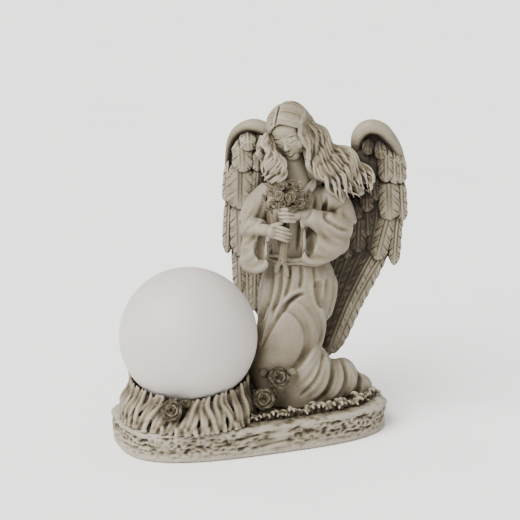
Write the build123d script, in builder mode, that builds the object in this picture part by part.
"""Kneeling garden angel beside a frosted ball lamp, on an oval rock plinth.

Millimetres, +Z up. The origin is under the middle of the whole object, on the ground.
The long side of the plinth lies along X. The ball stands at the left end, at -X, and the
angel kneels at the right end, turned towards the front and the ball. Front is -Y.
"""

import os
from itertools import pairwise
from math import cos, radians, sin, sqrt

from build123d import *

os.makedirs("parts", exist_ok=True)

# Driving dimensions

plinth_length = 246
plinth_depth = 134
plinth_corner = 60  # corner radius of the oval outline
plinth_top = 26  # height of the plinth's upper face
rim_foot = 1.0  # the plinth's rim clears the ground by this much
plinth_wall = 8
plinth_deck = 6  # thickness of the upper face
plinth_x, plinth_y = -11.9, -3.8  # middle of the plinth, so the whole stands over the origin

globe_radius = 60
globe_wall = 2.2
globe_z = 95  # height of the ball's middle
globe_x, globe_y = plinth_x - 60, plinth_y - 6
neck_radius = 24
neck_foot = 16

plate_z = 2.0  # underside of the base plate
plate_thickness = 2.5
plate_top = plate_z + plate_thickness
fit_gap = 0.4

figure_x, figure_y = plinth_x + 48, plinth_y + 5
figure_turn = radians(-38)  # the angel faces this far towards the ball
waist_z = 150
shoulder_z = 214

globe_axis = Axis((globe_x, globe_y, 0), (0, 0, 1))
figure = Plane(
    origin=(figure_x, figure_y, 0),
    x_dir=(cos(figure_turn), sin(figure_turn), 0),
    z_dir=(0, 0, 1),
)


def radial_plane(angle):
    """The upright plane through the ball's axis at this angle, its x pointing outwards."""
    turn = radians(angle)
    return Plane(
        origin=(globe_x, globe_y, 0),
        x_dir=(cos(turn), sin(turn), 0),
        z_dir=(sin(turn), -cos(turn), 0),
    )


def on_figure(x, y, z):
    """A point x to the angel's left, y behind its middle and z up."""
    return figure.from_local_coords(Vector(x, y, z))


def save(piece, name):
    """Labels the finished piece and writes its STEP file."""
    piece.part.label = name
    export_step(piece.part, f"parts/{name}.step")


ball_margin = 0.35  # a limb's balls stand this far proud, so they cut its cones cleanly


def limb(points, radii):
    """Adds a round tapered limb through the points, with a ball at each end and bend."""
    for (start, end), (first, last) in zip(pairwise(points), pairwise(radii)):
        run = end - start
        with BuildSketch(Plane(start, z_dir=run)) as near:
            Circle(first)
        with BuildSketch(Plane(end, z_dir=run)) as far:
            Circle(last)
        loft([near.sketch, far.sketch])
    for point, radius in zip(points, radii):
        with Locations(point):
            Sphere(radius + ball_margin)


def column(sections, mode=Mode.ADD):
    """Lofts upright through ellipses, each given as (z, x, y, half width, half depth)."""
    rings = []
    for z, x, y, half_width, half_depth in sections:
        with BuildSketch(figure.offset(z)) as ring:
            with Locations((x, y)):
                Ellipse(half_width, half_depth)
        rings.append(ring.sketch)
    loft(rings, mode=mode)


# Plinth: a hollow oval casting with screw bosses under its deck

top_chamfer = 3
boss_radius = 5
pilot_radius = 1.3
pilot_depth = 12
cavity_length = plinth_length - 2 * plinth_wall
cavity_depth = plinth_depth - 2 * plinth_wall
cavity_corner = plinth_corner - plinth_wall
boss_spots = [
    (plinth_x + x, plinth_y + y) for x in (-88, 0, 88) for y in (-48, 48)
]
holder_bore = 28.4
holder_screw_ring = 32.5
holder_screw_depth = 4

with BuildPart() as plinth:
    with BuildSketch(Plane.XY.offset(rim_foot)):
        with Locations((plinth_x, plinth_y)):
            RectangleRounded(plinth_length, plinth_depth, plinth_corner)
    extrude(amount=plinth_top - rim_foot)
    chamfer(plinth.edges().group_by(Axis.Z)[-1], length=top_chamfer)
    with BuildSketch(Plane.XY.offset(rim_foot)):
        with Locations((plinth_x, plinth_y)):
            RectangleRounded(cavity_length, cavity_depth, cavity_corner)
    extrude(amount=plinth_top - plinth_deck - rim_foot, mode=Mode.SUBTRACT)
    with BuildSketch(Plane.XY.offset(plate_top)):
        with Locations(boss_spots):
            Circle(boss_radius)
    extrude(amount=plinth_top - plinth_deck - plate_top)
    with BuildSketch(Plane.XY.offset(plate_top)):
        with Locations(boss_spots):
            Circle(pilot_radius)
    extrude(amount=pilot_depth, mode=Mode.SUBTRACT)
    with BuildSketch(Plane.XY.offset(rim_foot)):
        with Locations((globe_x, globe_y)):
            Circle(holder_bore)
    extrude(amount=plinth_top, mode=Mode.SUBTRACT)
    with BuildSketch(Plane.XY.offset(plinth_top - plinth_deck)):
        with Locations((globe_x, globe_y)):
            with PolarLocations(holder_screw_ring, 3, start_angle=90):
                Circle(pilot_radius)
    extrude(amount=holder_screw_depth, mode=Mode.SUBTRACT)
save(plinth, "plinth")


# Globe: a frosted ball shade with an open neck and three bayonet lugs

lug_reach = 2.0
lug_bottom, lug_height = 20.0, 3.0
lug_angle = 16
twist_angle = 25
neck_overlap = 10  # the neck runs this far into the ball

with BuildPart() as globe:
    with Locations((globe_x, globe_y, globe_z)):
        Sphere(globe_radius)
    with BuildSketch(Plane.XY.offset(neck_foot)):
        with Locations((globe_x, globe_y)):
            Circle(neck_radius)
    extrude(amount=globe_z - globe_radius - neck_foot + neck_overlap)
    for turn in (0, 120, 240):
        with BuildSketch(radial_plane(turn - lug_angle / 2)):
            with Locations((neck_radius + lug_reach / 2 - 0.5, lug_bottom + lug_height / 2)):
                Rectangle(lug_reach + 1, lug_height)
        revolve(axis=globe_axis, revolution_arc=lug_angle)
    with Locations((globe_x, globe_y, globe_z)):
        Sphere(globe_radius - globe_wall, mode=Mode.SUBTRACT)
    with BuildSketch(Plane.XY.offset(neck_foot)):
        with Locations((globe_x, globe_y)):
            Circle(neck_radius - globe_wall)
    extrude(amount=globe_z - globe_radius - neck_foot + neck_overlap, mode=Mode.SUBTRACT)
save(globe, "globe")


# Lamp holder: the socket cup that takes the globe's neck, with its gasket and screws

cup_inside = neck_radius + 0.5
cup_outside = 28.0
cup_top = 34.0
cup_foot = 9.0
cup_floor = 2.0
flange_radius = 36.5
flange_top = plinth_top - plinth_deck
flange_thickness = 3.0
groove_reach = neck_radius + lug_reach + 0.6
groove_clearance = 0.5
wire_hole_radius = 4.0
screw_hole_radius = 1.7
groove_depth = 3.0
groove_spare = 2.0  # degrees left free at each end of a lug's travel

with BuildPart() as lamp_holder:
    with BuildSketch(Plane.XY.offset(cup_foot)):
        with Locations((globe_x, globe_y)):
            Circle(cup_outside)
    extrude(amount=cup_top - cup_foot)
    with BuildSketch(Plane.XY.offset(flange_top - flange_thickness)):
        with Locations((globe_x, globe_y)):
            Circle(flange_radius)
    extrude(amount=flange_thickness)
    with BuildSketch(Plane.XY.offset(cup_foot + cup_floor)):
        with Locations((globe_x, globe_y)):
            Circle(cup_inside)
    extrude(amount=cup_top, mode=Mode.SUBTRACT)
    with BuildSketch(Plane.XY.offset(cup_foot)):
        with Locations((globe_x, globe_y)):
            Circle(wire_hole_radius)
    extrude(amount=cup_floor, mode=Mode.SUBTRACT)
    for turn in (0, 120, 240):
        sweep_start = turn - lug_angle / 2 - groove_spare
        sweep_angle = lug_angle + twist_angle + 2 * groove_spare
        with BuildSketch(radial_plane(sweep_start)):
            with Locations((groove_reach - groove_depth / 2, lug_bottom + lug_height / 2)):
                Rectangle(groove_depth, lug_height + 2 * groove_clearance)
        revolve(axis=globe_axis, revolution_arc=sweep_angle, mode=Mode.SUBTRACT)
        entry_start = turn + twist_angle - lug_angle / 2 - groove_spare
        entry_height = cup_top - lug_bottom + groove_clearance
        with BuildSketch(radial_plane(entry_start)):
            with Locations((groove_reach - groove_depth / 2, cup_top - entry_height / 2)):
                Rectangle(groove_depth, entry_height)
        revolve(
            axis=globe_axis,
            revolution_arc=lug_angle + 2 * groove_spare,
            mode=Mode.SUBTRACT,
        )
    with BuildSketch(Plane.XY.offset(flange_top - flange_thickness)):
        with Locations((globe_x, globe_y)):
            with PolarLocations(holder_screw_ring, 3, start_angle=90):
                Circle(screw_hole_radius)
    extrude(amount=flange_thickness, mode=Mode.SUBTRACT)
save(lamp_holder, "lamp_holder")

gasket_top = 39.9
with BuildPart() as globe_gasket:
    with BuildSketch(Plane.XY.offset(cup_top)):
        with Locations((globe_x, globe_y)):
            Circle(cup_outside)
            Circle(neck_radius + fit_gap, mode=Mode.SUBTRACT)
    extrude(amount=gasket_top - cup_top)
save(globe_gasket, "globe_gasket")


def pan_head_screws(spots, seat_z, head_radius, head_height, shank_radius, shank_length):
    """Adds screws driven upwards, their heads under seat_z."""
    cross_length, cross_width = 1.2 * head_radius, 0.6
    with BuildSketch(Plane.XY.offset(seat_z - head_height)) as head:
        with Locations(spots):
            Circle(head_radius)
    with BuildSketch(Plane.XY.offset(seat_z - head_height)) as cross:
        with Locations(spots):
            Rectangle(cross_length, cross_width)
            Rectangle(cross_width, cross_length)
    with BuildSketch(Plane.XY.offset(seat_z)) as shank:
        with Locations(spots):
            Circle(shank_radius)
    extrude(head.sketch, amount=head_height)
    extrude(cross.sketch, amount=head_height * 0.6, mode=Mode.SUBTRACT)
    extrude(shank.sketch, amount=shank_length)


holder_screw_spots = [
    (
        globe_x + holder_screw_ring * cos(radians(angle)),
        globe_y + holder_screw_ring * sin(radians(angle)),
    )
    for angle in (90, 210, 330)
]
with BuildPart() as holder_screws:
    pan_head_screws(holder_screw_spots, flange_top - flange_thickness, 3.0, 2.0, 1.25, 6.5)
save(holder_screws, "holder_screws")


# Light source: a round board with four lamps under the open neck

board_z = 12.5
board_thickness = 1.6
board_radius = 22.5
led_ring = 9.0
led_flange_height = 1.0
led_dome_radius = 2.5
board_foot_ring, board_foot_radius = 18, 2.0

with BuildPart() as led_board:
    with BuildSketch(Plane.XY.offset(board_z)):
        with Locations((globe_x, globe_y)):
            Circle(board_radius)
    extrude(amount=board_thickness)
    with BuildSketch(Plane.XY.offset(cup_foot + cup_floor)):
        with Locations((globe_x, globe_y)):
            with PolarLocations(board_foot_ring, 3, start_angle=30):
                Circle(board_foot_radius)
    extrude(amount=board_z - cup_foot - cup_floor)
save(led_board, "led_board")

with BuildPart() as led_lamps:
    with BuildSketch(Plane.XY.offset(board_z + board_thickness)):
        with Locations((globe_x, globe_y)):
            with PolarLocations(led_ring, 4):
                Circle(led_dome_radius + 0.4)
    extrude(amount=led_flange_height)
    with BuildSketch(Plane.XY.offset(board_z + board_thickness + led_flange_height)):
        with Locations((globe_x, globe_y)):
            with PolarLocations(led_ring, 4):
                Circle(led_dome_radius)
    extrude(amount=6.0)
    fillet(led_lamps.edges().group_by(Axis.Z)[-1], radius=led_dome_radius - 0.2)
save(led_lamps, "led_lamps")


# Base plate with the battery tray, the slide switch, screws and foot pads

tray_x, tray_y = plinth_x + 52, plinth_y
tray_length, tray_width = 60, 40
tray_wall = 1.6
tray_top = 18.5
door_length, door_width = 55, 35
door_screw_x, door_screw_y = tray_x + 25.5, tray_y + 15.5
switch_x, switch_y = plinth_x + 2, plinth_y - 26
slot_length, slot_width = 10.5, 4.6
plate_gap = 0.5
sunk_radius, sunk_depth = 3.4, 1.5  # the screw heads' recesses
pad_radius = 9

with BuildPart() as base_plate:
    with BuildSketch(Plane.XY.offset(plate_z)):
        with Locations((plinth_x, plinth_y)):
            RectangleRounded(
                cavity_length - 2 * plate_gap, cavity_depth - 2 * plate_gap, cavity_corner - plate_gap
            )
        with Locations((tray_x, tray_y)):
            Rectangle(door_length + 2 * fit_gap, door_width + 2 * fit_gap, mode=Mode.SUBTRACT)
        with Locations((switch_x, switch_y)):
            Rectangle(slot_length, slot_width, mode=Mode.SUBTRACT)
        with Locations(boss_spots):
            Circle(screw_hole_radius, mode=Mode.SUBTRACT)
    extrude(amount=plate_thickness)
    with BuildSketch(Plane.XY.offset(plate_z)):
        with Locations(boss_spots):
            Circle(sunk_radius)
    extrude(amount=sunk_depth, mode=Mode.SUBTRACT)
save(base_plate, "base_plate")

with BuildPart() as base_screws:
    pan_head_screws(boss_spots, plate_z + sunk_depth, 3.0, sunk_depth, 1.25, 9.0)
save(base_screws, "base_screws")

pad_spots = [(plinth_x + x, plinth_y + y) for x in (-78, 78) for y in (-28, 28)]
with BuildPart() as foot_pads:
    with BuildSketch():
        with Locations(pad_spots):
            Circle(pad_radius)
    extrude(amount=plate_z)
    chamfer(foot_pads.edges().group_by(Axis.Z)[0], length=0.5)
save(foot_pads, "foot_pads")

with BuildPart() as battery_tray:
    with BuildSketch(Plane.XY.offset(plate_top)):
        with Locations((tray_x, tray_y)):
            RectangleRounded(tray_length, tray_width, 3)
    extrude(amount=tray_top - plate_top)
    with BuildSketch(Plane.XY.offset(plate_top)):
        with Locations((tray_x, tray_y)):
            Rectangle(tray_length - 2 * tray_wall, tray_width - 2 * tray_wall)
    extrude(amount=tray_top - plate_top - tray_wall, mode=Mode.SUBTRACT)
    with BuildSketch(Plane.XY.offset(plate_top)):
        with Locations((door_screw_x, door_screw_y)):
            Circle(2.6)
            Circle(0.9, mode=Mode.SUBTRACT)
    extrude(amount=tray_top - plate_top - tray_wall)
save(battery_tray, "battery_tray")

cell_radius, cell_length = 5.25, 42.5
cell_pitch = 10.9
cell_z = 10.4
nub_radius, nub_length = 1.9, 1.0
contact_side = 9  # the square strips at the ends of the cells
strip_thickness = 0.5
spring_radius = 3.4
cell_spots = [(tray_x - 2.5, tray_y - 2 + row * cell_pitch) for row in (-1, 0, 1)]
with BuildPart() as batteries:
    for x, y in cell_spots:
        with BuildSketch(Plane.YZ.offset(x - cell_length / 2)):
            with Locations((y, cell_z)):
                Circle(cell_radius)
        extrude(amount=cell_length)
        with BuildSketch(Plane.YZ.offset(x + cell_length / 2)):
            with Locations((y, cell_z)):
                Circle(nub_radius)
        extrude(amount=nub_length)
save(batteries, "batteries")

with BuildPart() as battery_springs:
    for x, y in cell_spots:
        spring_end = x - cell_length / 2
        tray_inside = tray_x - tray_length / 2 + tray_wall
        with BuildSketch(Plane.YZ.offset(tray_inside)):
            with Locations((y, cell_z)):
                Rectangle(contact_side, contact_side)
        extrude(amount=strip_thickness)
        with BuildSketch(Plane.YZ.offset(tray_inside + strip_thickness)):
            with Locations((y, cell_z)):
                Circle(spring_radius)
                Circle(spring_radius - 0.8, mode=Mode.SUBTRACT)
        extrude(amount=spring_end - tray_inside - strip_thickness)
save(battery_springs, "battery_springs")

with BuildPart() as battery_contacts:
    for x, y in cell_spots:
        with BuildSketch(Plane.YZ.offset(x + cell_length / 2 + nub_length)):
            with Locations((y, cell_z)):
                Rectangle(contact_side, contact_side)
        extrude(amount=strip_thickness)
save(battery_contacts, "battery_contacts")

with BuildPart() as battery_door:
    with BuildSketch(Plane.XY.offset(plate_z)):
        with Locations((tray_x, tray_y)):
            Rectangle(door_length, door_width)
    extrude(amount=plate_thickness - fit_gap)
    with BuildSketch(Plane.XY.offset(plate_z)):
        with Locations((door_screw_x, door_screw_y)):
            Circle(1.2)
    extrude(amount=plate_thickness, mode=Mode.SUBTRACT)
    with BuildSketch(Plane.XY.offset(plate_z)):
        with Locations([(tray_x - 20 + 2.2 * groove, tray_y) for groove in range(8)]):
            Rectangle(1.0, 18)
    extrude(amount=0.5, mode=Mode.SUBTRACT)
save(battery_door, "battery_door")

with BuildPart() as door_screw:
    pan_head_screws([(door_screw_x, door_screw_y)], plate_z, 1.9, 1.2, 0.85, 9.0)
save(door_screw, "door_screw")

switch_travel = 4.0
knob_length, knob_width = 5.0, 3.6
with BuildPart() as switch_body:
    with BuildSketch(Plane.XY.offset(plate_top)):
        with Locations((switch_x, switch_y)):
            Rectangle(20, 9)
    extrude(amount=6.5)
    with BuildSketch(Plane.XY.offset(plate_top)):
        with Locations((switch_x, switch_y)):
            Rectangle(slot_length + 2, slot_width + 1.4)
    extrude(amount=2.6, mode=Mode.SUBTRACT)
save(switch_body, "switch_body")

knob_x = switch_x - switch_travel / 2
with BuildPart() as switch_slider:
    with BuildSketch(Plane.XY.offset(plate_z - 0.6)):
        with Locations((knob_x, switch_y)):
            Rectangle(knob_length, knob_width)
    extrude(amount=plate_top - plate_z + 0.9)
    with BuildSketch(Plane.XY.offset(plate_top + 0.3)):
        with Locations((knob_x, switch_y)):
            Rectangle(7.0, slot_width + 0.6)
    extrude(amount=1.8)
    with BuildSketch(Plane.XY.offset(plate_z - 0.6)):
        with Locations((knob_x - 1.2, switch_y), (knob_x, switch_y), (knob_x + 1.2, switch_y)):
            Rectangle(0.5, knob_width)
    extrude(amount=0.4, mode=Mode.SUBTRACT)
save(switch_slider, "switch_slider")


# Leads: fixed inside the plinth, between the tray, the switch and the lamp board

lead_radius = 0.8
lead_z = 7.0
tray_side = tray_x - tray_length / 2
switch_side = switch_x + 10


def lead(points):
    """A thin lead along straight runs joined by tangent arcs."""
    radii = []
    for before, corner, after in zip(points, points[1:], points[2:]):
        run_in, run_out = corner - before, after - corner
        turn = radians(run_in.get_angle(run_out))
        shorter = min(run_in.length, run_out.length)
        radii.append(0.45 * shorter * cos(turn / 2) / sin(turn / 2))
    with BuildLine() as route:
        FilletPolyline(*points, radius=radii)
    with BuildSketch(Plane(points[0], z_dir=points[1] - points[0])) as section:
        Circle(lead_radius)
    sweep(section.sketch, path=route.line)


with BuildPart() as battery_lead:
    lead(
        [
            Vector(tray_side, tray_y - 10, lead_z),
            Vector(tray_side - 7, tray_y - 10, lead_z),
            Vector(switch_side + 6, switch_y, lead_z),
            Vector(switch_side, switch_y, lead_z),
        ]
    )
save(battery_lead, "battery_lead")

with BuildPart() as switch_lead:
    lead(
        [
            Vector(switch_x - 10, switch_y, lead_z),
            Vector(switch_x - 22, switch_y, lead_z),
            Vector(globe_x + 16, globe_y - 1.5, lead_z),
            Vector(globe_x + 1.5, globe_y - 1.5, lead_z),
            Vector(globe_x + 1.5, globe_y - 1.5, board_z),
        ]
    )
save(switch_lead, "switch_lead")

with BuildPart() as return_lead:
    lead(
        [
            Vector(tray_side, tray_y + 10, lead_z),
            Vector(tray_side - 14, tray_y + 10, lead_z),
            Vector(tray_side - 40, tray_y + 18, lead_z),
            Vector(globe_x + 16, globe_y + 2, lead_z),
            Vector(globe_x - 1.5, globe_y + 2, lead_z),
            Vector(globe_x - 1.5, globe_y + 2, board_z),
        ]
    )
save(return_lead, "return_lead")


# Skirt: the kneeling lower half of the robe, cast hollow, with its train to the right

skirt_wall = 6
train_end = plinth_x + 119

with BuildPart() as skirt:
    column(
        [
            (plinth_top, -4, -6, 41, 36),
            (62, -4, -8, 40, 36),
            (105, -3, -6, 33, 30),
            (waist_z, 0, 0, 26, 19),
        ]
    )
    train_rings = []
    for x, half_width, height in ((38, 36, 54), (78, 33, 38), (104, 27, 24), (119, 12, 8)):
        with BuildSketch(Plane.YZ.offset(plinth_x + x)) as train_ring:
            with Locations((plinth_y - 2, plinth_top)):
                Ellipse(half_width, height)
        train_rings.append(train_ring.sketch)
    loft(train_rings)
    split(bisect_by=Plane.XY.offset(plinth_top), keep=Keep.TOP)
    column(
        [
            (plinth_top, -4, -6, 41 - skirt_wall, 36 - skirt_wall),
            (62, -4, -8, 40 - skirt_wall, 36 - skirt_wall),
            (105, -3, -6, 33 - skirt_wall, 30 - skirt_wall),
            (waist_z - skirt_wall, 0, 0, 26 - skirt_wall, 19 - skirt_wall),
        ],
        mode=Mode.SUBTRACT,
    )
save(skirt, "skirt")

# Bodice and sash: the upper half of the robe and the belt round the waist

sash_height = 9
with BuildPart() as bodice:
    column(
        [
            (waist_z, 0, 0, 22, 16),
            (waist_z + sash_height, 0, 0, 22, 16),
            (188, 0, 0, 28, 20),
            (shoulder_z - 4, 1, 1, 33, 18),
            (shoulder_z + 8, 1, 1, 19, 13),
            (shoulder_z + 13, 0, 0, 11, 10),
        ]
    )
save(bodice, "bodice")

with BuildPart() as sash:
    with BuildSketch(figure.offset(waist_z)):
        Ellipse(27, 20)
    extrude(amount=sash_height)
    fillet(sash.edges(), radius=2)
    add(bodice.part, mode=Mode.SUBTRACT)
save(sash, "sash")

# Head and neck

head_middle = on_figure(-5, -12, 266)
chin_middle = on_figure(-1, -19, 250)
neck_base = on_figure(0, 0, shoulder_z + 10)

with BuildPart() as head:
    limb([head_middle, chin_middle], [17, 9])
    limb([neck_base, on_figure(-3, -5, 248)], [9, 8.5])
    add(bodice.part, mode=Mode.SUBTRACT)
save(head, "head")

# Neck band: the raised border of the robe's neckline

with BuildPart() as neck_band:
    column([(shoulder_z + 5, 0, 0, 27, 19), (shoulder_z + 12, 0, 0, 17, 14)])
    add(bodice.part, mode=Mode.SUBTRACT)
    add(head.part, mode=Mode.SUBTRACT)
save(neck_band, "neck_band")

# Sleeves and hands

right_wrist, left_wrist = on_figure(-24, -31, 184), on_figure(14, -27, 202)
with BuildPart() as right_sleeve:
    limb([on_figure(-27, -1, 204), on_figure(-45, -8, 172), right_wrist], [12, 15, 13])
    limb([on_figure(-40, -14, 166), on_figure(-37, -18, 153)], [13, 10.5])
    add(bodice.part, mode=Mode.SUBTRACT)
    add(sash.part, mode=Mode.SUBTRACT)
    add(skirt.part, mode=Mode.SUBTRACT)
save(right_sleeve, "right_sleeve")

with BuildPart() as left_sleeve:
    limb([on_figure(28, 0, 204), on_figure(41, -1, 178), left_wrist], [13, 16, 12])
    limb([on_figure(30, -14, 176), on_figure(23, -21, 163)], [16, 10])
    add(bodice.part, mode=Mode.SUBTRACT)
    add(sash.part, mode=Mode.SUBTRACT)
    add(skirt.part, mode=Mode.SUBTRACT)
save(left_sleeve, "left_sleeve")

with BuildPart() as right_hand:
    column([(178, -12, -35, 9, 7.5), (192, -11, -35, 8.5, 7)])
    add(right_sleeve.part, mode=Mode.SUBTRACT)
save(right_hand, "right_hand")

with BuildPart() as left_hand:
    column([(196, 0, -34, 9, 7.5), (210, 1, -33, 8, 7)])
    add(left_sleeve.part, mode=Mode.SUBTRACT)
    add(right_hand.part, mode=Mode.SUBTRACT)
save(left_hand, "left_hand")

# Bouquet: the bundle of stems through both hands, and the flowers above

with BuildPart() as bouquet_stems:
    column([(156, -6, -31, 3.5, 3.5), (214, -3, -31, 5, 5)])
    add(right_hand.part, mode=Mode.SUBTRACT)
    add(left_hand.part, mode=Mode.SUBTRACT)
save(bouquet_stems, "bouquet_stems")

with BuildPart() as bouquet_flowers:
    with Locations(on_figure(-12, -27, 215), on_figure(6, -28, 217), on_figure(-3, -30, 224)):
        Sphere(11)
    for piece in (head, neck_band, bodice, left_sleeve, right_sleeve, left_hand, right_hand):
        add(piece.part, mode=Mode.SUBTRACT)
    add(bouquet_stems.part, mode=Mode.SUBTRACT)
save(bouquet_flowers, "bouquet_flowers")

# Wings: flat-backed castings, each in the plane of its root, its outer edge and its tip

wing_thickness = 14


def wing(root, outer, tip, outline):
    """Adds a wing plate. The outline is (along, up) from the root, along towards the outer edge."""
    face = Plane(root, x_dir=outer - root, z_dir=(outer - root).cross(tip - root))
    along = Vector(face.x_dir.X, face.x_dir.Y, 0).normalized()
    points = []
    for span, height in outline:
        spot = root + along * span + Vector(0, 0, height - root.Z)
        flat = face.to_local_coords(spot)
        points.append((flat.X, flat.Y))
    with BuildSketch(face.offset(-wing_thickness / 2)) as plate:
        with BuildLine():
            Spline(*points, periodic=True)
        make_face()
    extrude(plate.sketch, amount=wing_thickness)


def near_plinth(x, y, z):
    """A point given from the middle of the plinth."""
    return Vector(plinth_x + x, plinth_y + y, z)


figure_front = (skirt, sash, bodice, head, neck_band, left_sleeve, right_sleeve)

with BuildPart() as left_wing:
    wing(
        near_plinth(66, 20, 215),
        near_plinth(148, -6, 215),
        near_plinth(80, 34, 60),
        [(12, 205), (20, 262), (40, 279), (66, 262), (82, 200), (72, 150), (22, 58), (8, 120)],
    )
    for piece in figure_front:
        add(piece.part, mode=Mode.SUBTRACT)
save(left_wing, "left_wing")

with BuildPart() as right_wing:
    wing(
        near_plinth(58, 30, 215),
        near_plinth(0, 62, 215),
        near_plinth(60, 52, 60),
        [(6, 205), (14, 262), (36, 279), (56, 262), (68, 200), (64, 150), (22, 62), (2, 110)],
    )
    for piece in figure_front:
        add(piece.part, mode=Mode.SUBTRACT)
    add(left_wing.part, mode=Mode.SUBTRACT)
save(right_wing, "right_wing")

# Hair: the crown, the lock at the right cheek and the long fall over the left shoulder

with BuildPart() as hair:
    with Locations(on_figure(-3, -7, 274)):
        Sphere(22)
    limb([on_figure(-20, -9, 262), on_figure(-23, -16, 236), on_figure(-27, -20, 218)], [8, 9, 7])
    limb([on_figure(16, 0, 262), on_figure(24, 0, 236), on_figure(46, 4, 208)], [13, 14, 10])
    limb([on_figure(2, 8, 264), on_figure(4, 17, 225), on_figure(6, 20, 200)], [16, 14, 10])
    split(bisect_by=Plane(head_middle + Vector(-9, -11, 0), z_dir=(0.6, 0.8, 0.35)), keep=Keep.TOP)
    for piece in (head, neck_band, bodice, left_sleeve, right_sleeve, left_wing, right_wing):
        add(piece.part, mode=Mode.SUBTRACT)
    add(bouquet_flowers.part, mode=Mode.SUBTRACT)
save(hair, "hair")

# Grass collar: the flared ring of grass that cradles the ball

collar_gap = 1.2
collar_reach, collar_rim = 58, 46
seat_radius = globe_radius + collar_gap
collar_hole = 37.5


def seat_height(radius):
    """Height of the collar's ball-shaped seat at this distance from the ball's axis."""
    return globe_z - sqrt(seat_radius**2 - radius**2)


with BuildPart() as grass_collar:
    with BuildSketch(radial_plane(0)):
        with BuildLine():
            Polyline(
                (collar_hole, seat_height(collar_hole)),
                (collar_hole, plinth_top),
                (collar_reach, plinth_top),
                (collar_reach - 5, plinth_top + 14),
                (collar_rim + 2, seat_height(collar_rim) + 1.5),
                (collar_rim, seat_height(collar_rim)),
            )
            RadiusArc(
                (collar_rim, seat_height(collar_rim)),
                (collar_hole, seat_height(collar_hole)),
                seat_radius,
            )
        make_face()
    revolve(axis=globe_axis)
    add(skirt.part, mode=Mode.SUBTRACT)
save(grass_collar, "grass_collar")

# Roses and grass tufts on the plinth


def rosette(middle, radius, tilt):
    """Adds a rose head: a tilted cup of two tiers of petals round a bud."""
    face = Plane(middle, z_dir=tilt)
    for reach, low, high in ((1.0, -0.5, 0.15), (0.75, 0.15, 0.45), (0.4, 0.45, 0.75)):
        with BuildSketch(face.offset(low * radius)) as tier:
            with PolarLocations(reach * radius * 0.45, 5):
                Circle(reach * radius * 0.55)
            Circle(reach * radius * 0.5)
        extrude(tier.sketch, amount=(high - low) * radius)


rose_spots = {
    "front_rose": (near_plinth(-87, -54, 42), 11.5, (-0.45, -0.7, 0.5)),
    "lower_rose": (near_plinth(-1, -42, 42), 12, (0.0, -0.8, 0.5)),
    "upper_rose": (near_plinth(12, -38, 58), 11, (0.1, -0.7, 0.7)),
}
earlier = [skirt, grass_collar]
for rose_name, (middle, radius, tilt) in rose_spots.items():
    with BuildPart() as rose:
        rosette(middle, radius, tilt)
        for piece in earlier:
            add(piece.part, mode=Mode.SUBTRACT)
    save(rose, rose_name)
    earlier.append(rose)

tuft_spots = [(22, -49), (38, -50), (56, -49), (74, -46), (90, -40), (16, -54)]
with BuildPart() as grass_tufts:
    for x, y in tuft_spots:
        with Locations(near_plinth(x, y, plinth_top)):
            Cone(7, 2.5, 11, align=(Align.CENTER, Align.CENTER, Align.MIN))
    for piece in earlier:
        add(piece.part, mode=Mode.SUBTRACT)
save(grass_tufts, "grass_tufts")
